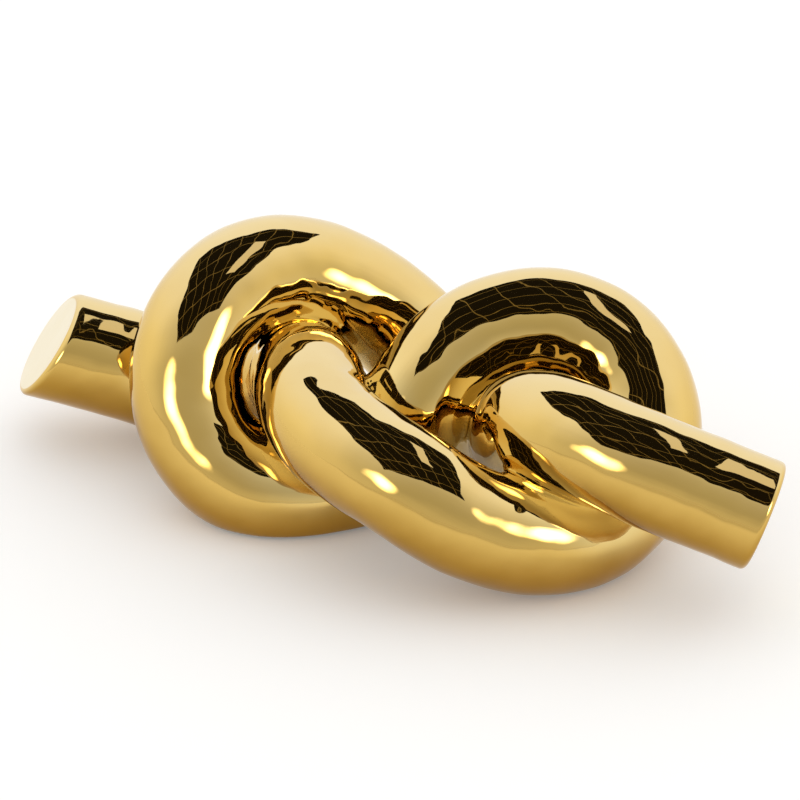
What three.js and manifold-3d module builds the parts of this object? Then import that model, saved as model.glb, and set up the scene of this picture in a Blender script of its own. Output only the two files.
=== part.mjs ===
// Knot sculpture: a thick hollow rope of clay tied in a figure-eight knot, glazed and gilded.
// The rope is cast in short sections that are luted end to end. Two discs close its ends.
// Millimetres, +Z up. X runs from the left tail to the right tail, and the table is Z = 0.
import * as THREE from "three";
import { mergeVertices } from "three/addons/utils/BufferGeometryUtils.js";
import Module from "manifold-3d";

// Rope
const ropeDiameter = 54;
const wall = 7.5;
const lutingGap = 0.3; // left between any two pieces that meet
const press = 2.7; // how far one strand sinks into another where they cross

// Stance of the knot's own plane
const lean = 28; // degrees back from upright
const turn = 25; // degrees about the vertical, which lines the two tails up with X
const centreHeight = 52; // from the ground feet to the middle of the knot

// The eye of each loop: its clear opening, and its middle in the knot's plane
const rightEyeWidth = 40;
const rightEyeHeight = 46;
const rightEye = new THREE.Vector2(62.5, -10);
const leftEyeWidth = 43;
const leftEyeHeight = 50;
const leftEye = new THREE.Vector2(-58, 14);

// Each loop as the rope runs round its eye: degrees from the right-hand side, and depth in layers of rope.
// Depth changes slowly at first and then faster, as a power, its climb, of the way round.
const rightLoop = { stations: 5, fromAngle: 89, toAngle: -86, fromDepth: -0.24, toDepth: 0.98, climb: 2 };
const leftLoop = { stations: 5, fromAngle: -91, toAngle: -261, fromDepth: -0.21, toDepth: -0.76, climb: 5 };

// Where the rope passes through the left eye: right and up from the eye's middle, and depth in layers
const underLeftLimb = new THREE.Vector3(-40, -3, -1.56);
const behindLeftEye = new THREE.Vector3(-6, -3, -1.28);
const inLeftEye = new THREE.Vector3(9, -1, -0.18);
const leftShoulder = new THREE.Vector3(19, -23, 0.77);

// Where it leaves the left loop behind the right one, from the left eye's middle
const leftCrown = new THREE.Vector3(26.5, 43.5, -1.11);

// Where it passes through the right eye
const inRightEye = new THREE.Vector3(-10.5, -6, -0.35);
const rightShoulder = new THREE.Vector3(-4.5, 2, 0.94);
const overRightLimb = new THREE.Vector3(41.5, -16, 1.56);

// The three strands across the middle of the knot: right and up from its centre, and depth in layers
const frontUpper = new THREE.Vector3(-4, -34, 1.31);
const frontLower = new THREE.Vector3(26, -52, 1.27);
const crossingUpper = new THREE.Vector3(24, 28, -0.24);
const crossingMiddle = new THREE.Vector3(-1, -3, -0.24);
const crossingLower = new THREE.Vector3(-18, -26, -0.37);
const backUpper = new THREE.Vector3(-4, 38, -1.31);
const backLower = new THREE.Vector3(26, 4, -1.18);

// Tails, from the limb that each one crosses to its end: rake is up or down the knot's plane,
// and swing is towards the viewer, both in degrees
const leftTailLength = 79;
const leftTailRake = 165;
const leftTailSwing = 6;
const rightTailLength = 64;
const rightTailRake = -22;
const rightTailSwing = 3;

// Ends of the rope
const endDiscThickness = 7;
const endRimRadius = 4;
const leftEndTilt = -15; // degrees that the cut is turned from square, in the knot's plane
const leftEndTurn = 10; // degrees that it is then turned to face the viewer
const rightEndTilt = 0;
const rightEndTurn = -6;

// Feet and vent
const padDiameter = 16;
const padThickness = 1.2;
const ventDiameter = 5;

// Fineness of the facets
const ropeSides = 20;
const ropeStep = 11;
const boreSides = 12;
const boreStep = 16;
const discSides = 24;
const rimSteps = 2;

const ropeRadius = ropeDiameter / 2;
const boreRadius = ropeRadius - wall;
const layer = ropeDiameter - press; // depth from one strand to the strand that crosses it
const footLevel = padThickness + lutingGap;
const blockSize = 20 * ropeDiameter; // larger than the whole knot
const toRadians = THREE.MathUtils.degToRad;

const wasm = await Module();
wasm.setup();

const goldLustre = new THREE.MeshStandardMaterial({ color: 0xc49a45, roughness: 0.06, metalness: 1 });
const felt = new THREE.MeshStandardMaterial({ color: 0x4a3b2c, roughness: 0.95, metalness: 0 });

// The knot is laid out in its own plane: x right, y up, and depth in layers of rope towards the viewer.
// It then leans back and turns about the vertical.
const stance = new THREE.Euler(toRadians(90 - lean), 0, toRadians(turn), "ZYX");
const facing = new THREE.Vector3(0, 0, 1).applyEuler(stance);
const knotCentre = new THREE.Vector3(0, 0, footLevel + centreHeight);

// A station on the rope's centreline, at a place counted from an eye or from the knot's centre.
function station(place, from = new THREE.Vector2()) {
  const flat = new THREE.Vector3(from.x + place.x, from.y + place.y, place.z * layer);
  return flat.applyEuler(stance).add(knotCentre);
}

// The stations of a loop, at even angles round an ellipse half a rope outside the eye.
function roundEye(eye, width, height, loop) {
  const halfWidth = (width + ropeDiameter) / 2;
  const halfHeight = (height + ropeDiameter) / 2;
  return Array.from({ length: loop.stations }, (_, i) => {
    const along = i / (loop.stations - 1);
    const angle = toRadians(THREE.MathUtils.lerp(loop.fromAngle, loop.toAngle, along));
    const depth = THREE.MathUtils.lerp(loop.fromDepth, loop.toDepth, along ** loop.climb);
    return station(new THREE.Vector3(halfWidth * Math.cos(angle), halfHeight * Math.sin(angle), depth), eye);
  });
}

// A straight tail of the rope from the station where it leaves the knot: its middle, its end,
// and a run past the end that is cut off.
function tailFrom(start, length, rake, swing) {
  const inPlane = Math.cos(toRadians(swing));
  const along = new THREE.Vector3(
    inPlane * Math.cos(toRadians(rake)),
    inPlane * Math.sin(toRadians(rake)),
    Math.sin(toRadians(swing)),
  ).applyEuler(stance);
  return [length / 2, length, length + ropeRadius].map((reach) => start.clone().addScaledVector(along, reach));
}

const leftStart = station(underLeftLimb, leftEye);
const rightStart = station(overRightLimb, rightEye);
const leftTail = tailFrom(leftStart, leftTailLength, leftTailRake, leftTailSwing);
const rightTail = tailFrom(rightStart, rightTailLength, rightTailRake, rightTailSwing);

const stations = [
  ...leftTail.toReversed(),
  leftStart,
  station(behindLeftEye, leftEye),
  station(inLeftEye, leftEye),
  station(leftShoulder, leftEye),
  station(frontUpper),
  station(frontLower),
  ...roundEye(rightEye, rightEyeWidth, rightEyeHeight, rightLoop).toReversed(),
  station(crossingUpper),
  station(crossingMiddle),
  station(crossingLower),
  ...roundEye(leftEye, leftEyeWidth, leftEyeHeight, leftLoop),
  station(leftCrown, leftEye),
  station(backUpper),
  station(backLower),
  station(inRightEye, rightEye),
  station(rightShoulder, rightEye),
  rightStart,
  ...rightTail,
];

// The rope's centreline: a natural cubic spline through the stations, whose knots are spaced by the
// square root of the distance between them, so that its curvature runs on unbroken.
class RopeRoute extends THREE.Curve {
  constructor(points) {
    super();
    this.points = points;
    this.last = points.length - 1;
    this.spans = points.slice(1).map((point, i) => Math.sqrt(point.distanceTo(points[i])));
    this.bends = this.solveBends();
  }

  // Second derivatives at the stations, by forward elimination and back substitution.
  solveBends() {
    const { points, spans, last } = this;
    const slope = (i) => points[i + 1].clone().sub(points[i]).divideScalar(spans[i]);
    const ratio = [0];
    const partial = [new THREE.Vector3()];
    for (let i = 1; i < last; i += 1) {
      const pivot = 2 * (spans[i - 1] + spans[i]) - spans[i - 1] * ratio[i - 1];
      const change = slope(i).sub(slope(i - 1)).multiplyScalar(6);
      ratio[i] = spans[i] / pivot;
      partial[i] = change.addScaledVector(partial[i - 1], -spans[i - 1]).divideScalar(pivot);
    }
    const bends = points.map(() => new THREE.Vector3());
    for (let i = last - 1; i > 0; i -= 1) {
      bends[i].copy(partial[i]).addScaledVector(bends[i + 1], -ratio[i]);
    }
    return bends;
  }

  getPoint(t, target = new THREE.Vector3()) {
    const place = t * this.last;
    const i = Math.min(Math.floor(place), this.last - 1);
    const b = place - i;
    const a = 1 - b;
    const sixth = this.spans[i] ** 2 / 6;
    return target
      .copy(this.points[i])
      .multiplyScalar(a)
      .addScaledVector(this.points[i + 1], b)
      .addScaledVector(this.bends[i], (a ** 3 - a) * sixth)
      .addScaledVector(this.bends[i + 1], (b ** 3 - b) * sixth);
  }
}

// A stretch of the route between two places counted in stations, lengthened by grow at both ends.
class RopeSpan extends THREE.Curve {
  constructor(route, from, to, grow) {
    super();
    this.route = route;
    this.from = Math.max(from - grow / this.speed(from), 0);
    this.to = Math.min(to + grow / this.speed(to), route.last);
  }

  // Millimetres of rope in one station's step, at a place.
  speed(place) {
    const half = 0.01;
    const ahead = Math.min(place + half, this.route.last);
    const behind = Math.max(place - half, 0);
    const moved = this.route.getPoint(ahead / this.route.last).distanceTo(this.route.getPoint(behind / this.route.last));
    return moved / (ahead - behind);
  }

  getPoint(t, target) {
    return this.route.getPoint(THREE.MathUtils.lerp(this.from, this.to, t) / this.route.last, target);
  }
}

function solidOf(geometry) {
  const bare = geometry.clone();
  bare.deleteAttribute("normal");
  bare.deleteAttribute("uv");
  const merged = mergeVertices(bare, 1e-4);
  const vertProperties = merged.getAttribute("position").array;
  const triVerts = new Uint32Array(merged.index.array);
  return new wasm.Manifold(new wasm.Mesh({ numProp: 3, vertProperties, triVerts }));
}

function meshOf(solid, name, material) {
  const { vertProperties, triVerts } = solid.getMesh();
  const geometry = new THREE.BufferGeometry();
  geometry.setAttribute("position", new THREE.BufferAttribute(vertProperties, 3));
  geometry.setIndex(new THREE.BufferAttribute(triVerts, 1));
  geometry.computeVertexNormals();
  const mesh = new THREE.Mesh(geometry, material);
  mesh.name = name;
  return mesh;
}

// A solid rod of a given radius along a stretch of the route.
function rod(span, radius, sides, step) {
  const section = new THREE.Shape().absarc(0, 0, radius, 0, 2 * Math.PI);
  const steps = Math.ceil(span.getLength() / step);
  const options = { steps, curveSegments: sides / 2, extrudePath: span, bevelEnabled: false };
  return solidOf(new THREE.ExtrudeGeometry(section, options));
}

// All space beyond a plane, on the side that its normal points to.
function beyond(point, normal) {
  const block = new THREE.BoxGeometry(blockSize, blockSize, blockSize).translate(0, blockSize / 2, 0);
  const upright = new THREE.Vector3(0, 1, 0);
  const aim = new THREE.Quaternion().setFromUnitVectors(upright, normal);
  block.applyQuaternion(aim);
  block.translate(point.x, point.y, point.z);
  return solidOf(block);
}

function below(level) {
  return beyond(new THREE.Vector3(0, 0, level), new THREE.Vector3(0, 0, -1));
}

// An end of the rope: the middle of its face, its outward axis, and the normal of its cut.
function ropeEnd(tail, tilt, outward) {
  const [middle, point] = tail;
  const axis = point.clone().sub(middle).normalize();
  const normal = axis.clone().applyAxisAngle(facing, toRadians(tilt));
  const upTheCut = new THREE.Vector3().crossVectors(normal, facing).normalize();
  normal.applyAxisAngle(upTheCut, toRadians(outward));
  return { point, axis, normal };
}

// The space taken by an end's disc and everything past it, which its tail is cut back from.
function pastTail(end) {
  const seat = end.point.clone().addScaledVector(end.axis, -endDiscThickness - lutingGap);
  return beyond(seat, end.normal);
}

// A disc that closes an end: a round plug with a softened rim, slanted to the end's cut.
function endDisc(end) {
  const profile = new THREE.Path();
  profile.moveTo(0, 0);
  profile.lineTo(ropeRadius, 0);
  profile.lineTo(ropeRadius, endDiscThickness - endRimRadius);
  profile.absarc(ropeRadius - endRimRadius, endDiscThickness - endRimRadius, endRimRadius, 0, Math.PI / 2);
  profile.lineTo(0, endDiscThickness);
  const plug = new THREE.LatheGeometry(profile.getPoints(rimSteps), discSides);
  const right = new THREE.Vector3().crossVectors(facing, end.axis).normalize();
  const side = new THREE.Vector3().crossVectors(right, end.axis);
  const lead = end.normal.dot(end.axis);
  const slant = new THREE.Matrix4().makeShear(
    -end.normal.dot(right) / lead, 0, 0, 0, 0, -end.normal.dot(side) / lead,
  );
  const place = new THREE.Matrix4().makeBasis(right, end.axis, side);
  place.setPosition(end.point.clone().addScaledVector(end.axis, -endDiscThickness));
  plug.applyMatrix4(slant);
  plug.applyMatrix4(place);
  return solidOf(plug);
}

// The lowest place on the centreline of a stretch.
function lowestOf(span) {
  return span.getSpacedPoints(Math.ceil(span.getLength())).reduce((a, b) => (b.z < a.z ? b : a));
}

// A felt pad on the table, up to the flat ground under the strand above it.
function feltPad(lowest) {
  const underside = Math.max(footLevel, lowest.z - ropeRadius);
  const thickness = underside - lutingGap;
  const pad = new THREE.CylinderGeometry(padDiameter / 2, padDiameter / 2, thickness, discSides);
  pad.rotateX(Math.PI / 2);
  pad.translate(lowest.x, lowest.y, thickness / 2);
  return solidOf(pad);
}

// The hole beside a pad that lets steam out of the hollow rope in the kiln, through the floor of a foot.
function ventHole(lowest) {
  const height = 4 * wall;
  const vent = new THREE.CylinderGeometry(ventDiameter / 2, ventDiameter / 2, height, discSides);
  vent.rotateX(Math.PI / 2);
  vent.translate(lowest.x + padDiameter / 2 + ventDiameter, lowest.y, footLevel);
  return solidOf(vent);
}

const route = new RopeRoute(stations);
const leftEnd = ropeEnd(leftTail, leftEndTilt, leftEndTurn);
const rightEnd = ropeEnd(rightTail, rightEndTilt, rightEndTurn);

// The cast sections in order along the rope, from station to station, with what is under or past each.
const sections = [
  { name: "left_tail", from: 0, to: 2.3, end: leftEnd },
  { name: "left_rear_bend", from: 2.3, to: 4.3, pad: "rear_felt_pad" },
  { name: "left_eye_bend", from: 4.3, to: 6 },
  { name: "front_strand", from: 6, to: 8 },
  { name: "right_foot_bend", from: 8, to: 10, pad: "front_felt_pad", vented: true },
  { name: "right_loop_side", from: 10, to: 12 },
  { name: "right_loop_crown", from: 12, to: 14 },
  { name: "crossing_strand", from: 14, to: 15.7 },
  { name: "left_foot_bend", from: 15.7, to: 18, pad: "left_felt_pad" },
  { name: "left_loop_side", from: 18, to: 20 },
  { name: "left_loop_crown", from: 20, to: 23 },
  { name: "back_strand", from: 23, to: 25.3, pad: "back_felt_pad" },
  { name: "right_eye_bend", from: 25.3, to: 27 },
  { name: "right_tail", from: 27, to: 30, end: rightEnd },
];

const underFeet = below(footLevel);
const underFloor = below(footLevel + wall);
const knot = new THREE.Group();
const seats = [];

sections.forEach((section, index) => {
  const span = new RopeSpan(route, section.from, section.to, -lutingGap / 2);
  const cutSpan = new RopeSpan(route, section.from, section.to, lutingGap);
  const bore = rod(cutSpan, boreRadius, boreSides, boreStep).subtract(underFloor);
  let cast = rod(span, ropeRadius, ropeSides, ropeStep).subtract(underFeet).subtract(bore);
  // A section is saddled over the strands laid before it, and only butts against its neighbour along the rope.
  seats.slice(0, Math.max(index - 1, 0)).forEach((seat) => {
    cast = cast.subtract(seat);
  });
  seats.push(rod(cutSpan, ropeRadius + lutingGap, ropeSides, ropeStep));
  if (section.end) {
    cast = cast.subtract(pastTail(section.end));
  }
  if (section.vented) {
    cast = cast.subtract(ventHole(lowestOf(span)));
  }
  if (section.pad) {
    knot.add(meshOf(feltPad(lowestOf(span)), section.pad, felt));
  }
  knot.add(meshOf(cast, section.name, goldLustre));
});

knot.add(meshOf(endDisc(leftEnd), "left_end_disc", goldLustre));
knot.add(meshOf(endDisc(rightEnd), "right_end_disc", goldLustre));

// The origin is on the table, under the middle of the whole knot.
const middle = new THREE.Box3().setFromObject(knot).getCenter(new THREE.Vector3());
knot.position.set(-middle.x, -middle.y, 0);

export default knot;
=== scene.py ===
"""Looks of the gold-lustred ceramic knot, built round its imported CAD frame. Metres, +Z up."""

import logging
import math
from dataclasses import dataclass, field
from enum import Enum
from typing import Any

import bpy
import numpy as np
from mathutils import Matrix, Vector
from numpy.typing import NDArray


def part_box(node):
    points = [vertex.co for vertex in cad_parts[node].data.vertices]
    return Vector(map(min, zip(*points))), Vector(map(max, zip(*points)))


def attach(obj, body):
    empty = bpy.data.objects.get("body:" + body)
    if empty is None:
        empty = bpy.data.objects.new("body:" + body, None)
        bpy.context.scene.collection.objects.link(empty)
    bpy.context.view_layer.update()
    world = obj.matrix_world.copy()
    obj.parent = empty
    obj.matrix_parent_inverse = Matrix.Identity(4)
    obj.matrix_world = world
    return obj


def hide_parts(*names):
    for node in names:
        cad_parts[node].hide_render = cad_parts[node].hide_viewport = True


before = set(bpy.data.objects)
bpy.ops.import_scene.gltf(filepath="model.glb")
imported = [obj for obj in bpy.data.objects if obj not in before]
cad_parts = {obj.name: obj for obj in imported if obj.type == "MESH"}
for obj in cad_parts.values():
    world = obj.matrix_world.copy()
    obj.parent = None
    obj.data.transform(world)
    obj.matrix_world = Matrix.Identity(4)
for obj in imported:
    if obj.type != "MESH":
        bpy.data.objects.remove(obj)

Array = NDArray[np.float64]
Socket = bpy.types.NodeSocket
Tree = bpy.types.NodeTree
LOG = logging.getLogger("knot")
MM = 0.001
FULL_TURN = 2.0 * math.pi
WHITE = "FFFFFF"


def linear(hex_colour: str) -> tuple[float, float, float, float]:
    """Turn an sRGB hex colour into linear RGBA.

    Args:
        hex_colour: Six hex digits.

    Returns:
        Linear red, green and blue, and an alpha of 1.
    """
    srgb = np.array([int(hex_colour[i:i + 2], 16) for i in (0, 2, 4)]) / 255.0
    value = np.where(srgb <= 0.04045, srgb / 12.92, ((srgb + 0.055) / 1.055) ** 2.4)
    return (float(value[0]), float(value[1]), float(value[2]), 1.0)


def per_metre(millimetres: float) -> float:
    """Give the texture scale, in repeats per metre, of a pattern with this spacing."""
    return 1.0 / (millimetres * MM)


def add_node(
    tree: Tree,
    kind: str,
    settings: dict[str, Any] | None = None,
    inputs: dict[str | int, Any] | None = None,
) -> bpy.types.Node:
    """Add a node, set its properties, and fill or link its inputs.

    Args:
        tree: The node tree to add to.
        kind: The node's type name.
        settings: Properties to set on the node.
        inputs: Sockets by name or number. A socket as value is linked, anything else is set.

    Returns:
        The new node.
    """
    node = tree.nodes.new(kind)
    for name, value in (settings or {}).items():
        setattr(node, name, value)
    for key, value in (inputs or {}).items():
        if isinstance(value, Socket):
            tree.links.new(value, node.inputs[key])
        else:
            node.inputs[key].default_value = value
    return node


def new_material(name: str) -> tuple[bpy.types.Material, Tree]:
    """Make an empty node material.

    Args:
        name: The material's name.

    Returns:
        The material and its cleared node tree.
    """
    material = bpy.data.materials.new(name)
    material.use_nodes = True
    material.node_tree.nodes.clear()
    return material, material.node_tree


def smooth_step(value: Array) -> Array:
    """Ease a number from 0 to 1 as 3t squared minus 2t cubed, clamped outside."""
    t = np.clip(value, 0.0, 1.0)
    return t * t * (3.0 - 2.0 * t)


def unit(vectors: Array) -> Array:
    """Scale vectors on the last axis to length 1."""
    return vectors / np.linalg.norm(vectors, axis=-1, keepdims=True)


def turned(degrees: float, axis: Array) -> Array:
    """Give the matrix of a turn about an axis."""
    return np.array(Matrix.Rotation(math.radians(degrees), 3, axis.tolist()))


def round_angles(sides: int) -> Array:
    """Give even angles round a ring as one row."""
    return np.linspace(0.0, FULL_TURN, sides, endpoint=False)[None, :]


def mesh_object(
    name: str,
    points: Array,
    faces: list[tuple[int, ...]],
    material: bpy.types.Material,
) -> bpy.types.Object:
    """Put points in metres and faces into a smooth mesh object at the origin.

    Args:
        name: The object's name.
        points: One row of x, y and z for each vertex.
        faces: Vertex numbers of each face.
        material: The finish.

    Returns:
        The object, linked to the scene.
    """
    mesh = bpy.data.meshes.new(name)
    mesh.from_pydata(points.tolist(), [], faces)
    mesh.polygons.foreach_set("use_smooth", np.ones(len(mesh.polygons), dtype=bool))
    mesh.materials.append(material)
    mesh.validate()
    mesh.update()
    piece = bpy.data.objects.new(name, mesh)
    bpy.context.scene.collection.objects.link(piece)
    return piece


def lathe_faces(rows: int, sides: int) -> list[tuple[int, ...]]:
    """Face a surface whose rings close on themselves and whose two ends meet in a pole.

    The vertices are the first pole, then the rings in order, then the last pole.

    Args:
        rows: Number of rings.
        sides: Vertices in a ring.

    Returns:
        Quads between rings and triangles at the poles, all facing outward.
    """
    ring = np.arange(rows * sides).reshape(rows, sides) + 1
    after = np.roll(ring, -1, axis=1)
    quads = np.stack([ring[:-1], after[:-1], after[1:], ring[1:]], axis=-1).reshape(-1, 4)
    last = rows * sides + 1
    first_fan = np.stack([np.zeros(sides, dtype=int), after[0], ring[0]], axis=-1)
    last_fan = np.stack([np.full(sides, last), ring[-1], after[-1]], axis=-1)
    return [tuple(face) for group in (quads, first_fan, last_fan) for face in group.tolist()]


class Eye(Enum):
    """What a station of the rope is counted from."""

    LEFT = "left"
    RIGHT = "right"
    CENTRE = "centre"


@dataclass(frozen=True)
class Loop:
    """One loop of the rope round its eye, in millimetres, degrees and layers of rope."""

    width: float
    height: float
    middle: tuple[float, float]
    stations: int
    angles: tuple[float, float]
    depths: tuple[float, float]
    climb: float


@dataclass(frozen=True)
class Tail:
    """A straight tail of the rope, in millimetres and degrees."""

    length: float
    rake: float
    swing: float
    tilt: float
    outward: float


@dataclass(frozen=True)
class KnotSizes:
    """Sizes of the knot, the same as the frame's, in millimetres and degrees."""

    rope: float = 54.0
    press: float = 2.7
    lean: float = 28.0
    turn: float = 25.0
    centre_height: float = 52.0
    pad: float = 1.2
    gap: float = 0.3
    right: Loop = Loop(40.0, 46.0, (62.5, -10.0), 5, (89.0, -86.0), (-0.24, 0.98), 2.0)
    left: Loop = Loop(43.0, 50.0, (-58.0, 14.0), 5, (-91.0, -261.0), (-0.21, -0.76), 5.0)
    left_tail: Tail = Tail(79.0, 165.0, 6.0, -15.0, 10.0)
    right_tail: Tail = Tail(64.0, -22.0, 3.0, 0.0, -6.0)

    @property
    def radius(self) -> float:
        """Half the rope's thickness."""
        return self.rope / 2.0

    @property
    def layer(self) -> float:
        """How far apart the middles of two strands lie that press on each other."""
        return self.rope - self.press

    @property
    def foot(self) -> float:
        """Height of the ground feet above the table."""
        return self.pad + self.gap

    @property
    def centre(self) -> Array:
        """The knot's middle over the table, before it is centred."""
        return np.array([0.0, 0.0, self.foot + self.centre_height])

    @property
    def axes(self) -> Array:
        """Rows are the knot's own right, up and facing directions in the part's frame."""
        rise, turn = math.radians(90.0 - self.lean), math.radians(self.turn)
        return np.array(Matrix.Rotation(turn, 3, "Z") @ Matrix.Rotation(rise, 3, "X")).T


class RopeRoute:
    """The rope's centreline: a natural cubic spline through stations laid out in the knot's own plane."""

    SAMPLES = 12000
    HALF_STEP = 0.25

    def __init__(self, sizes: KnotSizes) -> None:
        """Lay out the stations and solve the spline's second derivatives.

        Args:
            sizes: The knot's sizes.
        """
        self.sizes = sizes
        self.stations = self._stations()
        self.spans = np.sqrt(np.linalg.norm(np.diff(self.stations, axis=0), axis=1))
        self.bends = self._bends()
        self._places = np.linspace(0.0, len(self.stations) - 1.0, self.SAMPLES)
        steps = np.linalg.norm(np.diff(self.at(self._places), axis=0), axis=1)
        self._reach = np.concatenate([[0.0], np.cumsum(steps)])

    def _place(self, across: float, up: float, layers: float, eye: Eye = Eye.CENTRE) -> Array:
        """Give a station from its place right and up of an eye's middle, and its depth in layers."""
        middles = {Eye.LEFT: self.sizes.left.middle, Eye.RIGHT: self.sizes.right.middle}
        middle = middles.get(eye, (0.0, 0.0))
        return np.array([middle[0] + across, middle[1] + up, layers * self.sizes.layer])

    def _round(self, loop: Loop) -> Array:
        """Give a loop's stations: even angles on an ellipse half a rope outside the eye, depth by a power."""
        along = np.linspace(0.0, 1.0, loop.stations)
        angle = np.radians(loop.angles[0] + (loop.angles[1] - loop.angles[0]) * along)
        depth = loop.depths[0] + (loop.depths[1] - loop.depths[0]) * along ** loop.climb
        across = loop.middle[0] + (loop.width + self.sizes.rope) / 2.0 * np.cos(angle)
        up = loop.middle[1] + (loop.height + self.sizes.rope) / 2.0 * np.sin(angle)
        return np.column_stack([across, up, depth * self.sizes.layer])

    def _tail(self, start: Array, tail: Tail) -> Array:
        """Give a straight tail's middle, end, and a run of half a rope past its end."""
        rake, swing = math.radians(tail.rake), math.radians(tail.swing)
        flat = math.cos(swing)
        along = np.array([flat * math.cos(rake), flat * math.sin(rake), math.sin(swing)])
        reach = np.array([tail.length / 2.0, tail.length, tail.length + self.sizes.radius])
        return start + reach[:, None] * along

    def _stations(self) -> Array:
        """Give all stations in order from the left end, in the part's frame, not yet centred."""
        left_start = self._place(-40.0, -3.0, -1.56, Eye.LEFT)
        right_start = self._place(41.5, -16.0, 1.56, Eye.RIGHT)
        flat = np.vstack([
            self._tail(left_start, self.sizes.left_tail)[::-1],
            left_start,
            self._place(-6.0, -3.0, -1.28, Eye.LEFT),
            self._place(9.0, -1.0, -0.18, Eye.LEFT),
            self._place(19.0, -23.0, 0.77, Eye.LEFT),
            self._place(-4.0, -34.0, 1.31),
            self._place(26.0, -52.0, 1.27),
            self._round(self.sizes.right)[::-1],
            self._place(24.0, 28.0, -0.24),
            self._place(-1.0, -3.0, -0.24),
            self._place(-18.0, -26.0, -0.37),
            self._round(self.sizes.left),
            self._place(26.5, 43.5, -1.11, Eye.LEFT),
            self._place(-4.0, 38.0, -1.31),
            self._place(26.0, 4.0, -1.18),
            self._place(-10.5, -6.0, -0.35, Eye.RIGHT),
            self._place(-4.5, 2.0, 0.94, Eye.RIGHT),
            right_start,
            self._tail(right_start, self.sizes.right_tail),
        ])
        return flat @ self.sizes.axes + self.sizes.centre

    def _bends(self) -> Array:
        """Solve the natural spline's second derivatives at the stations, which are zero at both ends."""
        inner = len(self.stations) - 2
        slopes = np.diff(self.stations, axis=0) / self.spans[:, None]
        matrix = np.diag(2.0 * (self.spans[:-1] + self.spans[1:]))
        matrix += np.diag(self.spans[1:-1], 1) + np.diag(self.spans[1:-1], -1)
        bends = np.zeros_like(self.stations)
        bends[1:inner + 1] = np.linalg.solve(matrix, 6.0 * np.diff(slopes, axis=0))
        return bends

    def at(self, places: Array) -> Array:
        """Give the centreline's points at places counted in stations.

        With a and b the shares of the two stations round a place, a point is their mean by a and b, plus a sixth
        of the span squared times the second derivatives by a cubed minus a, and b cubed minus b.

        Args:
            places: Places along the route.

        Returns:
            One point for each place.
        """
        i = np.minimum(places.astype(int), len(self.spans) - 1)
        b = (places - i)[:, None]
        a = 1.0 - b
        sixth = self.spans[i][:, None] ** 2 / 6.0
        line = a * self.stations[i] + b * self.stations[i + 1]
        return line + sixth * ((a ** 3 - a) * self.bends[i] + (b ** 3 - b) * self.bends[i + 1])

    def reach_of(self, place: float) -> float:
        """Give the length of rope from the start of the route to a place counted in stations."""
        return float(np.interp(place, self._places, self._reach))

    def _at_reach(self, reach: Array) -> Array:
        """Give the centreline's points at lengths of rope from the start of the route."""
        return self.at(np.interp(reach, self._reach, self._places))

    def along(self, reach: Array) -> tuple[Array, Array]:
        """Give the points and tangents at lengths of rope from the start of the route.

        Args:
            reach: Lengths along the rope.

        Returns:
            The points, and the unit tangents from central differences.
        """
        ahead, behind = self._at_reach(reach + self.HALF_STEP), self._at_reach(reach - self.HALF_STEP)
        return self._at_reach(reach), unit(ahead - behind)


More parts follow.
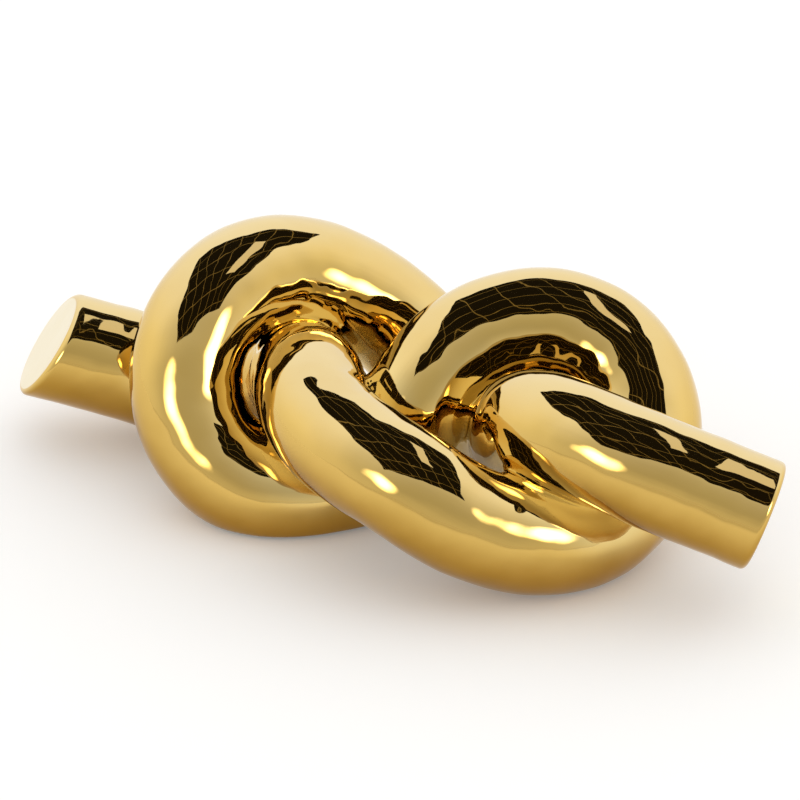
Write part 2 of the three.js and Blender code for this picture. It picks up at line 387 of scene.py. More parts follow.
@dataclass(frozen=True)
class GoldLustre:
    """Gold lustre fired over a glossy glaze on a cast ceramic body.

    A layer of real metal on glass-smooth glaze: a mirror with a yellow tint, soft waves left from the
    hand-smoothed clay, faint streaks along the rope and a few pinholes. Light and shade are painted into the tint:
    pale on upper sides, deep gold underneath, paler in the hollows between strands, and a narrow painted highlight
    along the bottom of each groove. The ground feet show bare clay.
    """

    # The three tints below are painted light and shade: pale on upper sides, middle on the flanks, deep
    # underneath.
    lit_top_tint: str = "E2CC97"
    middle: str = "DEBB69"
    full: str = "B48A38"
    warm: str = "D0A654"
    # Painted light: a paler tint in the hollows between strands, also used for a painted highlight along each
    # groove.
    groove_and_hollow_light: str = "E6CE8E"
    cut: str = "EFE2C0"
    pinhole: str = "3A2A12"
    clay: str = "D8CDB8"
    roughness: tuple[float, float] = (0.02, 0.036)
    clay_roughness: float = 0.75
    # Heights of the normal, clouds added, where the painted shade turns to the middle tint, and that to the pale
    # lit top.
    shade_to_middle: tuple[float, float] = (-0.24, 0.76)
    middle_to_lit_top: tuple[float, float] = (0.61, 1.31)
    tone_mm: float = 42.0
    tone_detail: float = 4.0
    tone_share: float = 0.42
    blush: tuple[float, float] = (0.45, 0.8)
    blush_share: float = 0.35
    # Distances from the next strand over which the painted groove highlight and the painted light of the hollows
    # come in.
    groove_highlight_mm: tuple[float, float] = (0.8, 0.2)
    hollow_light_mm: tuple[float, float] = (24.0, 3.0)
    hollow_light_share: float = 0.9
    wave_mm: float = 19.0
    wave_depth_mm: float = 0.45
    wave_detail: float = 0.6
    wave_dulls: tuple[float, float] = (0.3, 0.7)
    peel_mm: float = 6.0
    peel_depth_mm: float = 0.035
    streak_mm: tuple[float, float] = (90.0, 3.4)
    streak_depth_mm: float = 0.05
    pinhole_cell_mm: float = 26.0
    pinhole_mm: float = 0.45

    def material(self) -> bpy.types.Material:
        """Make the finish.

        Returns:
            A metal whose tint, roughness and relief follow the film's thickness, the grooves and the ground feet.
        """
        material, tree = new_material("gold_lustre_fired_over_glaze")
        piece = add_node(tree, "ShaderNodeTexCoord")
        ground = add_node(tree, "ShaderNodeAttribute", {"attribute_name": "ground"}).outputs["Fac"]
        waves = add_node(tree, "ShaderNodeTexNoise", {}, {
            "Vector": piece.outputs["Object"], "Scale": per_metre(self.wave_mm), "Detail": self.wave_detail})
        polish = add_node(tree, "ShaderNodeMapRange", {}, {
            "Value": waves.outputs["Fac"], "From Min": self.wave_dulls[0], "From Max": self.wave_dulls[1],
            "To Min": self.roughness[0], "To Max": self.roughness[1]})
        rough = add_node(tree, "ShaderNodeMix", {"data_type": "FLOAT"}, {
            "Factor": ground, "A": polish.outputs["Result"], "B": self.clay_roughness})
        metal = add_node(tree, "ShaderNodeMath", {"operation": "SUBTRACT"}, {0: 1.0, 1: ground})
        shader = add_node(tree, "ShaderNodeBsdfPrincipled", {}, {
            "Base Color": self._colour(tree, piece, ground),
            "Roughness": rough.outputs["Result"],
            "Metallic": metal.outputs["Value"],
            "Normal": self._relief(tree, piece.outputs["Object"], waves.outputs["Fac"])})
        add_node(tree, "ShaderNodeOutputMaterial", {}, {"Surface": shader.outputs["BSDF"]})
        return material

    def _colour(self, tree: Tree, piece: bpy.types.Node, ground: Socket) -> Socket:
        """Lay the finish's colours over each other, each by where it shows.

        Light and shade are painted in: the tint is deep underneath and pale on top, by the height of the surface's
        normal with clouds added. The warm blush follows the clouds. A painted light in the hollows and a painted
        highlight along each groove's bottom follow the distance from the next strand; the cut ends, pinholes and
        ground feet get their own colours.

        Args:
            tree: The material's node tree.
            piece: The node that gives the piece's own coordinates.
            ground: Where the feet are ground to bare clay.

        Returns:
            The finish's colour.
        """
        place = piece.outputs["Object"]
        upward = add_node(tree, "ShaderNodeSeparateXYZ", {}, {"Vector": piece.outputs["Normal"]})
        clouds = add_node(tree, "ShaderNodeTexNoise", {}, {
            "Vector": place, "Scale": per_metre(self.tone_mm), "Detail": self.tone_detail})
        tone = clouds.outputs["Fac"]
        # Painted light and shade: the normal's height, with clouds, picks deep gold below and pale gold on top.
        painted_light_level = add_node(tree, "ShaderNodeMath", {"operation": "MULTIPLY_ADD"}, {
            0: tone, 1: self.tone_share, 2: upward.outputs["Z"]}).outputs["Value"]
        apart = add_node(tree, "ShaderNodeAttribute", {"attribute_name": "apart"}).outputs["Fac"]
        cut = add_node(tree, "ShaderNodeAttribute", {"attribute_name": "cut"}).outputs["Fac"]
        cells = add_node(tree, "ShaderNodeTexVoronoi", {}, {
            "Vector": place, "Scale": per_metre(self.pinhole_cell_mm)})
        pin = self.pinhole_mm / self.pinhole_cell_mm
        shares = []
        for value, (start, stop), most, easing in (
            # Shares of the painted tints of flanks and lit tops.
            (painted_light_level, self.shade_to_middle, 1.0, "SMOOTHSTEP"),
            (painted_light_level, self.middle_to_lit_top, 1.0, "SMOOTHSTEP"),
            (tone, self.blush, self.blush_share, "LINEAR"),
            # Painted highlight along the bottom of each groove.
            (apart, self.groove_highlight_mm, 1.0, "SMOOTHSTEP"),
            # Painted light in the hollows near the next strand.
            (apart, self.hollow_light_mm, self.hollow_light_share, "SMOOTHSTEP"),
            (cells.outputs["Distance"], (pin, 0.5 * pin), 1.0, "SMOOTHSTEP"),
        ):
            share = add_node(tree, "ShaderNodeMapRange", {"interpolation_type": easing}, {
                "Value": value, "From Min": start, "From Max": stop, "To Max": most})
            shares.append(share.outputs["Result"])
        lower, upper, blush, line, hollow_lift, pinholes = shares
        # Painted light of the hollows, with the painted groove highlight.
        painted_hollow_share = add_node(tree, "ShaderNodeMath", {"operation": "MAXIMUM"}, {0: line, 1: hollow_lift}).outputs["Value"]
        # Start from the deep painted shade of the undersides.
        colour: Any = linear(self.full)
        for share, layer in (
            (lower, self.middle),
            (upper, self.lit_top_tint),
            (blush, self.warm),
            (painted_hollow_share, self.groove_and_hollow_light),
            (cut, self.cut),
            (pinholes, self.pinhole),
            (ground, self.clay),
        ):
            mix = add_node(tree, "ShaderNodeMix", {"data_type": "RGBA"}, {
                "Factor": share, "A": colour, "B": linear(layer)})
            colour = mix.outputs["Result"]
        return colour

    def _relief(self, tree: Tree, place: Socket, waves: Socket) -> Socket:
        """Lay waves, a fine orange peel and streaks along the rope over each other.

        Args:
            tree: The material's node tree.
            place: The piece's own coordinates.
            waves: The pattern of the waves.

        Returns:
            The relief's normal.
        """
        peel = add_node(tree, "ShaderNodeTexNoise", {}, {
            "Vector": place, "Scale": per_metre(self.peel_mm), "Detail": 0.0})
        straight = add_node(tree, "ShaderNodeAttribute", {"attribute_name": "straight"})
        along, across = (per_metre(size) for size in self.streak_mm)
        drawn = add_node(tree, "ShaderNodeMapping", {}, {
            "Vector": straight.outputs["Vector"], "Scale": (along, across, across)})
        streaks = add_node(tree, "ShaderNodeTexNoise", {}, {
            "Vector": drawn.outputs["Vector"], "Scale": 1.0, "Detail": 1.0})
        under: dict[str | int, Any] = {}
        for height, depth_mm in (
            (waves, self.wave_depth_mm),
            (peel.outputs["Fac"], self.peel_depth_mm),
            (streaks.outputs["Fac"], self.streak_depth_mm),
        ):
            raised = add_node(tree, "ShaderNodeBump", {}, {
                "Height": height, "Strength": 1.0, "Distance": depth_mm * MM, **under})
            under = {"Normal": raised.outputs["Normal"]}
        return under["Normal"]


@dataclass(frozen=True)
class PressedFelt:
    """Pressed wool felt, die-cut: matte and fibrous, with a slightly fuzzy edge."""

    light: str = "5A4836"
    dark: str = "3A2E22"
    roughness: float = 0.95
    # The wool's fibres are finer than shows, so the mottle is drawn coarser.
    fibre_mm: float = 0.6
    fibre_detail: float = 4.0
    fibre_curl: float = 1.5
    nap_mm: float = 0.2
    nap_strength: float = 0.6

    def material(self) -> bpy.types.Material:
        """Make the finish.

        Returns:
            A rough cloth with a fine fibrous mottle and relief.
        """
        material, tree = new_material("wool_felt_pressed")
        place = add_node(tree, "ShaderNodeTexCoord").outputs["Object"]
        fibre = add_node(tree, "ShaderNodeTexNoise", {}, {
            "Vector": place, "Scale": per_metre(self.fibre_mm), "Detail": self.fibre_detail,
            "Distortion": self.fibre_curl})
        tint = add_node(tree, "ShaderNodeMix", {"data_type": "RGBA"}, {
            "Factor": fibre.outputs["Fac"], "A": linear(self.dark), "B": linear(self.light)})
        nap = add_node(tree, "ShaderNodeBump", {}, {
            "Height": fibre.outputs["Fac"], "Strength": self.nap_strength, "Distance": self.nap_mm * MM})
        shader = add_node(tree, "ShaderNodeBsdfPrincipled", {}, {
            "Base Color": tint.outputs["Result"], "Roughness": self.roughness, "Normal": nap.outputs["Normal"]})
        add_node(tree, "ShaderNodeOutputMaterial", {}, {"Surface": shader.outputs["BSDF"]})
        return material


@dataclass(frozen=True)
class Wave:
    """One long wave in the clay: height and length in millimetres, turns round the rope, and phase."""

    height: float
    length: float
    turns: float
    phase: float


@dataclass(frozen=True)
class VentPlace:
    """Where the vent opens: length along the rope, angle round it, and its middle before centring."""

    reach: float
    angle: float
    middle: tuple[float, float]


@dataclass
class KnotBody:
    """The glazed body of the knot: one unbroken skin over the cast sections and the end discs, in millimetres."""

    sizes: KnotSizes = field(default_factory=KnotSizes)
    rows: int = 630
    sides: int = 140
    rim: float = 3.0
    rim_rows: int = 8
    face_rows: int = 10
    fillet: float = 4.0
    fillet_least: float = 0.2
    sink: float = 0.38
    foot_edge: float = 2.0
    calm_run: float = 12.0
    slant_run: float = 60.0
    own_reach: float = 86.0
    groove_reach: float = 24.0
    line_step: float = 1.5
    seek: float = 108.2
    vent_diameter: float = 5.0
    vent_depth: float = 6.0
    vent_beside: float = 13.0
    vent_edge: float = 0.3
    vent_span: float = 4.75
    vent_step: float = 0.5
    vent_draw: float = 0.7
    vent_draw_run: float = 30.0
    vent: VentPlace | None = None

    NODES = (
        "left_end_disc", "left_tail", "left_rear_bend", "left_eye_bend", "front_strand", "right_foot_bend",
        "right_loop_side", "right_loop_crown", "crossing_strand", "left_foot_bend", "left_loop_side",
        "left_loop_crown", "back_strand", "right_eye_bend", "right_tail", "right_end_disc",
    )
    WAVES = (
        Wave(0.08, 61.0, 2.0, 0.0), Wave(0.07, 43.0, -3.0, 1.3), Wave(0.07, 27.0, 4.0, 0.4),
        Wave(0.04, 17.0, -5.0, 2.1), Wave(0.012, 10.0, 9.0, 0.9),
    )

    def __post_init__(self) -> None:
        """Lay out the rope's route."""
        self.route = RopeRoute(self.sizes)
        self.shift = np.zeros(3)
        self.start = self.route.reach_of(1.0) + self.sink
        self.stop = self.route.reach_of(len(self.route.stations) - 2.0) - self.sink

    def _profile(self) -> tuple[Array, Array]:
        """Carry the rope's radius along its route, end faces and rims included.

        A face is a flat disc, a rim a quarter circle, and the rope between them a plain cylinder. Rings are added
        at the vent.

        Returns:
            For each ring, its length along the rope and its radius.
        """
        radius = self.sizes.radius
        angle = np.linspace(0.0, math.pi / 2.0, self.rim_rows + 1)[1:]
        face = np.linspace(0.0, radius - self.rim, self.face_rows + 1)[1:]
        rim_in = self.rim * (1.0 - np.cos(angle))
        rim_out = radius - self.rim + self.rim * np.sin(angle)
        body = np.linspace(self.start + self.rim, self.stop - self.rim, self.rows)[1:-1]
        if self.vent:
            extra = np.arange(-self.vent_span, self.vent_span + self.vent_step / 2.0, self.vent_step)
            body = np.union1d(body, self.vent.reach + extra)
        reach = np.concatenate([
            np.full(self.face_rows, self.start), self.start + rim_in, body,
            self.stop - rim_in[::-1], np.full(self.face_rows, self.stop)])
        wide = np.concatenate([face, rim_out, np.full(len(body), radius), rim_out[::-1], face[::-1]])
        return reach, wide

    def _spokes(self, reach: Array, tangents: Array) -> Array:
        """Give unit spokes round each ring, carried along the route without twist.

        Each ring's first spoke is the one before it, laid flat on the new ring's plane. Near the vent the angles
        are drawn towards it, by part of the sine of the angle from it, so that its edge has enough points.

        Args:
            reach: Each ring's length along the rope.
            tangents: The route's unit tangent at each ring.

        Returns:
            Rings by sides by 3.
        """
        first = np.cross(tangents[0], self.sizes.axes[2])
        carried = np.empty_like(tangents)
        for row, tangent in enumerate(tangents):
            first = first - np.dot(first, tangent) * tangent
            first = first / np.linalg.norm(first)
            carried[row] = first
        angle = round_angles(self.sides)
        if self.vent:
            near = 1.0 - smooth_step(np.abs(reach - self.vent.reach) / self.vent_draw_run)
            angle = angle - self.vent_draw * near[:, None] * np.sin(angle - self.vent.angle)
        angle = angle[..., None]
        return np.cos(angle) * carried[:, None, :] + np.sin(angle) * np.cross(tangents, carried)[:, None, :]

    def _slant(self, reach: Array, points: Array, centres: Array) -> Array:
        """Slide the rings near an end along the rope, so that its face lies on the end's slanting cut.

        The slide is the height of the cut's plane over the ring's point, and fades away from the end.

        Args:
            reach: Each ring's length along the rope.
            points: Rings by sides by 3.
            centres: The ring's middle points.

        Returns:
            The moved points.
        """
        moved = points.copy()
        facing = self.sizes.axes[2]
        ends = ((self.start, -1.0, self.sizes.left_tail), (self.stop, 1.0, self.sizes.right_tail))
        for end, sign, tail in ends:
            _, tangent = self.route.along(np.array([end]))
            axis = sign * tangent[0]
            tilted = turned(tail.tilt, facing) @ axis
            normal = turned(tail.outward, unit(np.cross(tilted, facing))) @ tilted
            fade = 1.0 - smooth_step(np.abs(reach - end) / self.slant_run)
            height = -((points - centres[:, None, :]) @ normal) / float(axis @ normal)
            moved += (fade[:, None] * height)[..., None] * axis
        return moved

    def _waves(self, reach: Array) -> Array:
        """Give the hand-smoothed clay's waves: a sum of a few long sines along and round the rope.

        Args:
            reach: Each ring's length along the rope.

        Returns:
            Outward offsets, rings by sides.
        """
        s, t = FULL_TURN * reach[:, None], round_angles(self.sides)
        return sum(w.height * np.sin(s / w.length + w.turns * t + w.phase) for w in self.WAVES)

    def _fillets(self, reach: Array, points: Array, spokes: Array) -> tuple[Array, Array]:
        """Swell the skin where another strand lies against it, so that glaze fills the groove.

        With m the fillet's size k less the distance to the other strand, and q one less the cosine between the
        two surfaces, the smooth union of the two tubes lies m squared / (2k - mq + 2 sqrt(k(k - mq))) outside
        this one. It stops at a quarter of k, where it meets the other strand's own fillet. A least share of k
        keeps the divisor above 0 where the two surfaces face each other.

        Args:
            reach: Each ring's length along the rope.
            points: Rings by sides by 3.
            spokes: The outward directions at the points.

        Returns:
            The outward offsets, and how far each point is from the bottom of a groove.
        """
        k = self.fillet
        line_reach = np.arange(self.start, self.stop, self.line_step)
        line, line_way = self.route.along(line_reach)
        offset = np.zeros(points.shape[:2])
        apart = np.full(points.shape[:2], self.groove_reach)
        for row, ring in enumerate(points):
            other = np.abs(line_reach - reach[row]) > self.own_reach
            other &= np.linalg.norm(line - ring.mean(axis=0), axis=1) < self.seek
            if not other.any():
                continue
            gap = self._gap(ring, line[other], line_way[other])
            length = np.linalg.norm(gap, axis=1)
            distance = length - self.sizes.radius
            q = 1.0 - np.sum(gap * spokes[row], axis=1) / length
            m = np.clip(k - distance, 0.0, None)
            root = np.sqrt(k * np.clip(k - m * q, 0.0, None))
            swell = m * m / (np.clip(2.0 * k - m * q, self.fillet_least * k, None) + 2.0 * root)
            offset[row] = np.minimum(swell, k / 4.0)
            apart[row] = np.clip(distance - k / 2.0, 0.0, self.groove_reach)
        return offset, apart

    def _gap(self, ring: Array, line: Array, way: Array) -> Array:
        """Give the way to each point of a ring from the nearest place on other strands' middle lines.

        Args:
            ring: The ring's points.
            line: Points on the middle lines.
            way: The middle lines' unit tangents there.

        Returns:
            One vector for each point, square to the line unless the point lies past the line's end.
        """
        apart = ring[:, None, :] - line[None, :, :]
        nearest = np.argmin(np.einsum("ijk,ijk->ij", apart, apart), axis=1)
        gap = np.take_along_axis(apart, nearest[:, None, None], axis=1)[:, 0]
        slip = np.sum(gap * way[nearest], axis=1, keepdims=True)
        return gap - np.clip(slip, -self.line_step, self.line_step) * way[nearest]

    def surface(self) -> tuple[Array, Array, Array, Array]:
        """Work out the whole skin, in millimetres.

        A circle is carried along the route. Its radius follows the end's profile, waves and fillets move it in or
        out, the ends are slid to their cuts, and the feet are ground flat by a smooth maximum with the foot's
        height.

        Returns:
            The skin's points as rings by sides by 3, the two poles, each point's distance from a groove, and how
            far it is ground.
        """
        reach, wide = self._profile()
        centres, tangents = self.route.along(reach)
        spokes = self._spokes(reach, tangents)
        plain = centres[:, None, :] + wide[:, None, None] * spokes
        body = np.isclose(wide, self.sizes.radius)[:, None]
        calm = smooth_step((np.minimum(reach - self.start, self.stop - reach) - self.rim) / self.calm_run)
        offset, apart = self._fillets(reach, plain, spokes)
        offset = np.where(body, offset + calm[:, None] * self._waves(reach), 0.0) - self.sink
        points = self._slant(reach, plain + offset[..., None] * spokes, centres)
        low = points[..., 2] - self.sizes.foot
        soft = np.clip(self.foot_edge - np.abs(low), 0.0, None) ** 2 / (4.0 * self.foot_edge)
        ground = smooth_step(-low / self.foot_edge)
        points[..., 2] = self.sizes.foot + np.maximum(low, 0.0) + soft + self._pit(points, low)
        poles = np.stack([points[0].mean(axis=0), points[-1].mean(axis=0)])
        return points, poles, np.where(body, apart, self.groove_reach), ground

    def _pit(self, points: Array, low: Array) -> Array:
        """Give the rise of the skin into the vent: its depth inside its circle, falling to 0 across its edge.

        Args:
            points: Rings by sides by 3.
            low: Height of the points over the feet, before these are ground.

        Returns:
            The rise, rings by sides.
        """
        if not self.vent:
            return np.zeros_like(low)
        away = np.linalg.norm(points[..., :2] - np.array(self.vent.middle), axis=-1)
        inside = smooth_step((self.vent_diameter / 2.0 + self.vent_edge - away) / (2.0 * self.vent_edge))
        return np.where(low < self.vent_diameter, self.vent_depth * inside, 0.0)

    def _find_vent(self) -> VentPlace:
        """Find the vent in the floor of the front foot, beside the pad that the frame has there.

        Returns:
            Its place, on the plain skin.
        """
        reach, _ = self._profile()
        points = self.surface()[0]
        low, high = (np.array(corner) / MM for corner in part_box("front_felt_pad"))
        beside = np.array([self.vent_beside, 0.0, self.sizes.foot])
        spot = 0.5 * (low + high) + beside - self._centring(points)
        away = np.linalg.norm(points - spot, axis=-1)
        row, side = np.unravel_index(int(np.argmin(away)), away.shape)
        angle = FULL_TURN * float(side) / self.sides
        return VentPlace(float(reach[row]), angle, (float(spot[0]), float(spot[1])))

    def _centring(self, points: Array) -> Array:
        """Give the move that centres the skin's box over the origin."""
        low, high = points.min(axis=(0, 1)), points.max(axis=(0, 1))
        return -0.5 * (low + high) * np.array([1.0, 1.0, 0.0])

    def _untied(self) -> Array:
        """Give each point of the skin its place on the straight rope, before it is tied.

        Returns:
            Length along the rope, and the two distances from its middle line, poles first and last.
        """
        reach, wide = self._profile()
        angle = round_angles(self.sides)
        rings = np.stack([
            np.repeat(reach[:, None], self.sides, axis=1),
            wide[:, None] * np.cos(angle), wide[:, None] * np.sin(angle)], axis=-1)
        poles = np.array([[self.start, 0.0, 0.0], [self.stop, 0.0, 0.0]])
        return np.vstack([poles[:1], rings.reshape(-1, 3), poles[1:]])

    def build(self, finish: GoldLustre) -> bpy.types.Object:
        """Build the skin, centre it on the frame's box and dress it.

        Args:
            finish: The gold.

        Returns:
            The skin's object.
        """
        self.vent = self._find_vent()
        points, poles, apart, ground = self.surface()
        self.shift = self._centring(points)
        rows, sides = points.shape[:2]
        all_points = np.vstack([poles[:1], points.reshape(-1, 3), poles[1:]]) + self.shift
        piece = mesh_object("gold_knot_body", all_points * MM, lathe_faces(rows, sides), finish.material())
        straight = piece.data.attributes.new("straight", "FLOAT_VECTOR", "POINT")
        straight.data.foreach_set("vector", (self._untied() * MM).astype(np.float32).ravel())
        cut = np.zeros_like(ground)
        cut[:self.face_rows] = 1.0
        cut[-self.face_rows:] = 1.0
        for name, values in (("apart", apart), ("ground", ground), ("cut", cut)):
            layer = piece.data.attributes.new(name, "FLOAT", "POINT")
            with_poles = np.concatenate([values[0, :1], values.ravel(), values[-1, :1]])
            layer.data.foreach_set("value", with_poles.astype(np.float32))
        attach(piece, "root")
        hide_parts(*self.NODES)
        return piece


@dataclass
class FeltPads:
    """The four felt pads under the feet, each a low disc with a rounded edge."""

    rings: int = 24
    sides: int = 64
    edge_power: float = 8.0
    uneven: float = 0.006
    ripples: tuple[float, float] = (7.0, 3.0)
    ripple_phase: float = 1.0

    NODES = ("rear_felt_pad", "front_felt_pad", "left_felt_pad", "back_felt_pad")

    def _profile(self, radius: float, height: float) -> Array:
        """Give a disc's half section from its under pole to its top pole.

        It is a rounded rectangle: a circle's sine and cosine, divided by their power mean and scaled to the disc.

        Args:
            radius: The disc's radius in metres.
            height: The disc's height in metres.

        Returns:
            Radius and height of each ring.
        """
        angle = np.linspace(-math.pi / 2.0, math.pi / 2.0, self.rings + 2)[1:-1]
        power = self.edge_power
        bulge = (np.abs(np.cos(angle)) ** power + np.abs(np.sin(angle)) ** power) ** (-1.0 / power)
        return np.column_stack([
            radius * bulge * np.cos(angle), height / 2.0 * (1.0 + bulge * np.sin(angle))])

    def build(self, finish: PressedFelt) -> list[bpy.types.Object]:
        """Build and dress the pads where the frame has them.

        Args:
            finish: The felt.

        Returns:
            One object for each pad.
        """
        material = finish.material()
        return [self._pad(node, material) for node in self.NODES]

    def _pad(self, node: str, material: bpy.types.Material) -> bpy.types.Object:
        """Build one pad over its frame node, with its rim slightly uneven as a die leaves it.

        Args:
            node: The frame's node.
            material: The felt.

        Returns:
            The pad's object.
        """
        low, high = (np.array(corner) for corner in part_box(node))
        middle = 0.5 * (low + high)
        height = float(high[2] - low[2])
        profile = self._profile(0.5 * float(high[0] - low[0]), height)
        angle = round_angles(self.sides)
        ripple = np.sin(self.ripples[0] * angle) * np.sin(self.ripples[1] * angle + self.ripple_phase)
        wide = profile[:, :1] * (1.0 - self.uneven * (1.0 + ripple))
        rings = np.stack([
            middle[0] + wide * np.cos(angle), middle[1] + wide * np.sin(angle),
            np.repeat(profile[:, 1:], self.sides, axis=1)], axis=-1)
        poles = np.array([[middle[0], middle[1], 0.0], [middle[0], middle[1], height]])
        points = np.vstack([poles[:1], rings.reshape(-1, 3), poles[1:]])
        piece = mesh_object(f"{node}_disc", points, lathe_faces(self.rings, self.sides), material)
        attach(piece, "root")
        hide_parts(node)
        return piece


@dataclass(frozen=True)
class PaperFloor:
    """Matt seamless paper: even and pale, with next to no gloss, and painted darker towards its front end as
    shade.
    """

    colour: str = "F6F5F3"
    # Painted shade: the paper's colour at its front end.
    unlit: str = "E6E4E1"
    lift: float = 0.14
    fade: tuple[float, float] = (0.32, 0.9)
    roughness: float = 0.9
    gloss: float = 0.1

    def material(self, front: Array) -> bpy.types.Material:
        """Make the finish.

        Args:
            front: Direction towards the camera along the floor.

        Returns:
            A rough pale surface, lifted a little towards white where the camera or a mirror sees it, and painted
            darker towards the front as shade of the unlit end of the room.
        """
        material, tree = new_material("seamless_paper_matt")
        path = add_node(tree, "ShaderNodeLightPath")
        seen = add_node(tree, "ShaderNodeMath", {"operation": "MAXIMUM"}, {
            0: path.outputs["Is Camera Ray"], 1: path.outputs["Is Glossy Ray"]})
        place = add_node(tree, "ShaderNodeTexCoord").outputs["Object"]
        forward = add_node(tree, "ShaderNodeVectorMath", {"operation": "DOT_PRODUCT"}, {
            0: place, 1: front.tolist()})
        # Painted shade: the paper darkens towards the front and loses its white lift there.
        dim = add_node(tree, "ShaderNodeMapRange", {"interpolation_type": "SMOOTHSTEP"}, {
            "Value": forward.outputs["Value"], "From Min": self.fade[0], "From Max": self.fade[1]})
        tint = add_node(tree, "ShaderNodeMix", {"data_type": "RGBA"}, {
            "Factor": dim.outputs["Result"], "A": linear(self.colour), "B": linear(self.unlit)})
        lit = add_node(tree, "ShaderNodeMapRange", {}, {
            "Value": dim.outputs["Result"], "To Min": self.lift, "To Max": 0.0})
        level = add_node(tree, "ShaderNodeMath", {"operation": "MULTIPLY"}, {
            0: seen.outputs["Value"], 1: lit.outputs["Result"]})
        shader = add_node(tree, "ShaderNodeBsdfPrincipled", {}, {
            "Base Color": tint.outputs["Result"],
            "Roughness": self.roughness,
            "Specular IOR Level": self.gloss,
            "Emission Color": linear(WHITE),
            "Emission Strength": level.outputs["Value"]})
        add_node(tree, "ShaderNodeOutputMaterial", {}, {"Surface": shader.outputs["BSDF"]})
        return material


@dataclass(frozen=True)
class CeilingTiles:
    """Unlit ceiling boards in a metal grid: nearly black, with narrow pale bars across it."""

    board: str = "1C1810"
    bar: str = "8C7A50"
    board_mm: tuple[float, float] = (600.0, 1200.0)
    bar_mm: tuple[float, float] = (26.0, 44.0)
    askew: float = 12.0

    def material(self, turn: float) -> bpy.types.Material:
        """Make the finish.

        Args:
            turn: Angle of the ceiling about the vertical, in degrees.

        Returns:
            A faintly glowing ceiling, so that it looks the same in any light.
        """
        material, tree = new_material("ceiling_boards_unlit")
        place = add_node(tree, "ShaderNodeTexCoord").outputs["Object"]
        lined_up = add_node(tree, "ShaderNodeMapping", {}, {
            "Vector": place, "Rotation": (0.0, 0.0, -math.radians(turn + self.askew))})
        split = add_node(tree, "ShaderNodeSeparateXYZ", {}, {"Vector": lined_up.outputs["Vector"]})
        bars = []
        for axis, spacing, width in zip("XY", self.board_mm, self.bar_mm):
            nearest = add_node(tree, "ShaderNodeMath", {"operation": "PINGPONG"}, {
                0: split.outputs[axis], 1: spacing / 2.0 * MM})
            on_bar = add_node(tree, "ShaderNodeMath", {"operation": "LESS_THAN"}, {
                0: nearest.outputs["Value"], 1: width / 2.0 * MM})
            bars.append(on_bar.outputs["Value"])
        grid = add_node(tree, "ShaderNodeMath", {"operation": "MAXIMUM"}, dict(enumerate(bars)))
        tint = add_node(tree, "ShaderNodeMix", {"data_type": "RGBA"}, {
            "Factor": grid.outputs["Value"], "A": linear(self.board), "B": linear(self.bar)})
        glow = add_node(tree, "ShaderNodeEmission", {}, {"Color": tint.outputs["Result"], "Strength": 1.0})
        add_node(tree, "ShaderNodeOutputMaterial", {}, {"Surface": glow.outputs["Emission"]})
        return material


@dataclass(frozen=True)
class LightPanel:
    """A flat panel of opal plastic lit from behind: an even white."""

    colour: str = "FFF6E4"
    strength: float = 0.9

    def material(self) -> bpy.types.Material:
        """Make the finish.

        Returns:
            A plain glow.
        """
        material, tree = new_material("opal_panel_backlit")
        glow = add_node(tree, "ShaderNodeEmission", {}, {
            "Color": linear(self.colour), "Strength": self.strength})
        add_node(tree, "ShaderNodeOutputMaterial", {}, {"Surface": glow.outputs["Emission"]})
        return material


@dataclass(frozen=True)
class SoftBoxCloth:
    """White diffusing cloth lit from behind, whose glow fades from its core to its edge."""

    colour: str = "FFF8EA"
    strength: float = 9.0
    core: float = 0.2

    def material(self, middle: Array, half: float) -> bpy.types.Material:
        """Make the finish.

        Args:
            middle: The cloth's middle.
            half: Half the cloth's width in metres.

        Returns:
            A glow that is clear at its edge.
        """
        material, tree = new_material("soft_box_cloth_backlit")
        place = add_node(tree, "ShaderNodeTexCoord").outputs["Object"]
        away = add_node(tree, "ShaderNodeVectorMath", {"operation": "DISTANCE"}, {0: place, 1: middle.tolist()})
        fade = add_node(tree, "ShaderNodeMapRange", {"interpolation_type": "SMOOTHSTEP"}, {
            "Value": away.outputs["Value"], "From Min": half, "From Max": self.core * half})
        glow = add_node(tree, "ShaderNodeEmission", {}, {
            "Color": linear(self.colour), "Strength": self.strength})
        clear = add_node(tree, "ShaderNodeBsdfTransparent")
        faded = add_node(tree, "ShaderNodeMixShader", {}, {
            0: fade.outputs["Result"], 1: clear.outputs["BSDF"], 2: glow.outputs["Emission"]})
        add_node(tree, "ShaderNodeOutputMaterial", {}, {"Surface": faded.outputs["Shader"]})
        return material


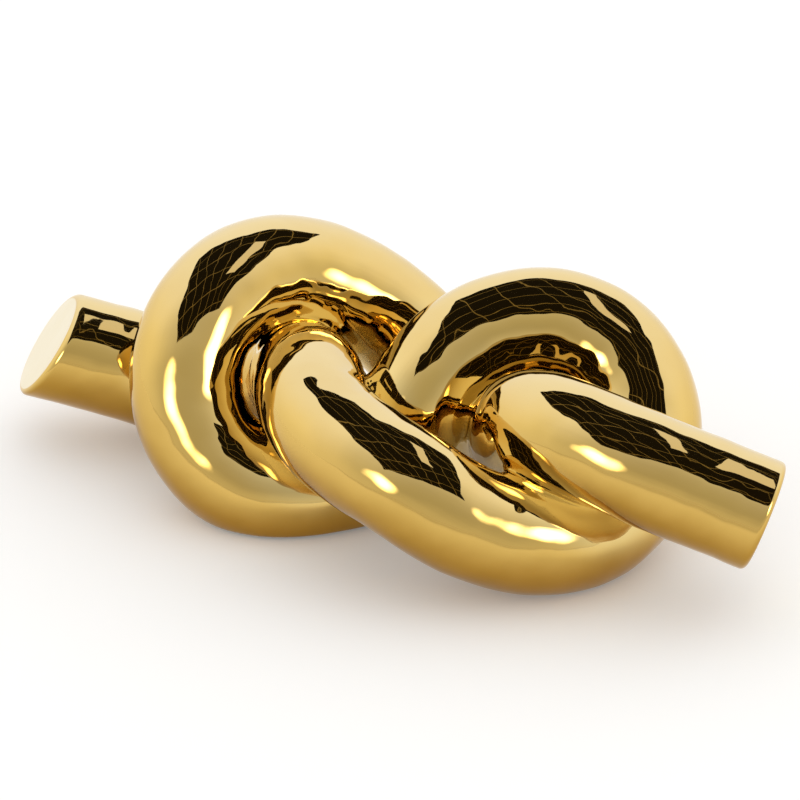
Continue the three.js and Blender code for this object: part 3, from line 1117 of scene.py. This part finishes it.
@dataclass
class Studio:
    """A plain pale floor, a white room with a dark ceiling that the gold mirrors, and the camera.

    The room is in metres and degrees, and the camera in millimetres as the knot.
    """

    sizes: KnotSizes = field(default_factory=KnotSizes)
    floor_half: float = 3.0
    ceiling_height: float = 3.4
    ceiling_right: tuple[float, float] = (-31.0, 38.0)
    ceiling_front: tuple[float, float] = (-42.0, 40.0)
    panel_drop: float = 0.01
    panel_right: tuple[float, float] = (15.5, 23.0)
    panel_front: tuple[float, float] = (-24.0, 6.0)
    back_to_front: tuple[float, float] = (-0.2, 0.98)
    back_to_front_level: tuple[float, float] = (1.15, 0.56)
    horizon: float = 0.4
    horizon_level: float = 1.0
    horizon_share: float = 0.5
    boxes: tuple[tuple[float, float], ...] = ((-37.0, 21.0), (49.0, 22.0))
    box_distance: float = 1.6
    box_half: float = 0.44
    camera_distance: float = 4320.0
    view_width: float = 375.65
    aim_right: float = -5.6
    aim_up: float = 4.2
    sensor: float = 36.0
    sight: float = 50.0

    @property
    def right(self) -> Array:
        """The camera's right, along the floor."""
        return self.sizes.axes[0]

    @property
    def front(self) -> Array:
        """The direction towards the camera, along the floor."""
        return unit(self.sizes.axes[2] * np.array([1.0, 1.0, 0.0]))

    def build(self, shift: Array) -> None:
        """Make the floor, the room and the camera.

        Args:
            shift: The move that centred the knot, in millimetres.
        """
        half = self.floor_half
        corners = np.array([[-half, -half, 0.0], [half, -half, 0.0], [half, half, 0.0], [-half, half, 0.0]])
        mesh_object("floor", corners, [(0, 1, 2, 3)], PaperFloor().material(self.front))
        tiles = CeilingTiles().material(self.sizes.turn)
        self._overhead("dark_ceiling", self.ceiling_right, self.ceiling_front, self.ceiling_height, tiles)
        under = self.ceiling_height - self.panel_drop
        self._overhead("ceiling_panel", self.panel_right, self.panel_front, under, LightPanel().material())
        self._room()
        for side, (bearing, height) in zip(("left", "right"), self.boxes):
            self._soft_box(f"{side}_soft_box", bearing, height)
        self._camera(shift)

    def _overhead(
        self,
        name: str,
        across: tuple[float, float],
        forward: tuple[float, float],
        height: float,
        material: bpy.types.Material,
    ) -> None:
        """Hang a flat card over the knot that only mirrors see.

        Args:
            name: The card's name.
            across: Angles from straight up to its left and right edges, in degrees.
            forward: Angles from straight up to its back and front edges, in degrees.
            height: Its height in metres.
            material: Its finish.
        """
        x = height * np.tan(np.radians(across))
        y = height * np.tan(np.radians(forward))
        spans = np.array([[x[0], y[0]], [x[1], y[0]], [x[1], y[1]], [x[0], y[1]]])
        corners = spans[:, :1] * self.right + spans[:, 1:] * self.front + np.array([0.0, 0.0, height])
        self._unseen(mesh_object(name, corners, [(0, 1, 2, 3)], material))

    def _unseen(self, card: bpy.types.Object) -> None:
        """Let only mirrors see a card."""
        card.visible_camera = False
        card.visible_diffuse = False
        card.visible_shadow = False
        card.visible_transmission = False

    def _room(self) -> None:
        """Fill the room with white light, brighter behind the knot than in front of it and even at the horizon."""
        world = bpy.data.worlds.new("studio")
        world.use_nodes = True
        tree = world.node_tree
        tree.nodes.clear()
        way = add_node(tree, "ShaderNodeTexCoord").outputs["Generated"]
        facing = add_node(tree, "ShaderNodeVectorMath", {"operation": "DOT_PRODUCT"}, {
            0: way, 1: self.front.tolist()})
        level = add_node(tree, "ShaderNodeMapRange", {"interpolation_type": "SMOOTHSTEP"}, {
            "Value": facing.outputs["Value"],
            "From Min": self.back_to_front[0], "From Max": self.back_to_front[1],
            "To Min": self.back_to_front_level[0], "To Max": self.back_to_front_level[1]})
        height = add_node(tree, "ShaderNodeSeparateXYZ", {}, {"Vector": way})
        low = add_node(tree, "ShaderNodeMapRange", {"interpolation_type": "SMOOTHSTEP"}, {
            "Value": height.outputs["Z"], "From Min": self.horizon, "From Max": 0.0,
            "To Max": self.horizon_share})
        even = add_node(tree, "ShaderNodeMix", {"data_type": "FLOAT"}, {
            "Factor": low.outputs["Result"], "A": level.outputs["Result"], "B": self.horizon_level})
        glow = add_node(tree, "ShaderNodeBackground", {}, {
            "Color": linear(WHITE), "Strength": even.outputs["Result"]})
        add_node(tree, "ShaderNodeOutputWorld", {}, {"Surface": glow.outputs["Background"]})
        bpy.context.scene.world = world

    def _soft_box(self, name: str, bearing: float, height: float) -> None:
        """Set a soft box in front of the knot: a card, facing it, that only mirrors see.

        Args:
            name: The card's name.
            bearing: Its angle from the front, to the right, in degrees.
            height: Its angle above the floor in degrees.
        """
        turn, rise, half = math.radians(bearing), math.radians(height), self.box_half
        way = math.cos(rise) * (math.cos(turn) * self.front + math.sin(turn) * self.right)
        back = way + np.array([0.0, 0.0, math.sin(rise)])
        right = unit(np.cross(np.array([0.0, 0.0, 1.0]), back))
        up = np.cross(back, right)
        spot = self.box_distance * back
        signs = ((1.0, -1.0), (-1.0, -1.0), (-1.0, 1.0), (1.0, 1.0))
        corners = np.array([spot + half * (i * right + j * up) for i, j in signs])
        self._unseen(mesh_object(name, corners, [(0, 1, 2, 3)], SoftBoxCloth().material(spot, half)))

    def _camera(self, shift: Array) -> None:
        """Set the camera square to the knot's own plane, far off with a long lens.

        Args:
            shift: The move that centred the knot, in millimetres.
        """
        axes = self.sizes.axes
        aim = shift + self.sizes.centre + self.aim_right * axes[0] + self.aim_up * axes[1]
        eye = (aim + self.camera_distance * axes[2]) * MM
        data = bpy.data.cameras.new("camera")
        data.sensor_width = self.sensor
        data.lens = self.sensor * self.camera_distance / self.view_width
        data.clip_end = self.sight
        camera = bpy.data.objects.new("camera", data)
        facing = Matrix(axes.T.tolist()).to_quaternion()
        camera.matrix_world = Matrix.LocRotScale(eye.tolist(), facing, None)
        bpy.context.scene.collection.objects.link(camera)
        bpy.context.scene.camera = camera


def main() -> None:
    """Build the body, the pads and the studio in order."""
    logging.basicConfig(level=logging.INFO, format="%(name)s: %(message)s")
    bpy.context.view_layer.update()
    body = KnotBody()
    skin = body.build(GoldLustre())
    LOG.info("%s: %d faces", skin.name, len(skin.data.polygons))
    for pad in FeltPads().build(PressedFelt()):
        LOG.info("%s: %d faces", pad.name, len(pad.data.polygons))
    Studio(body.sizes).build(body.shift)
    bpy.context.scene.view_settings.view_transform = "Standard"


if __name__ == "__main__":
    main()
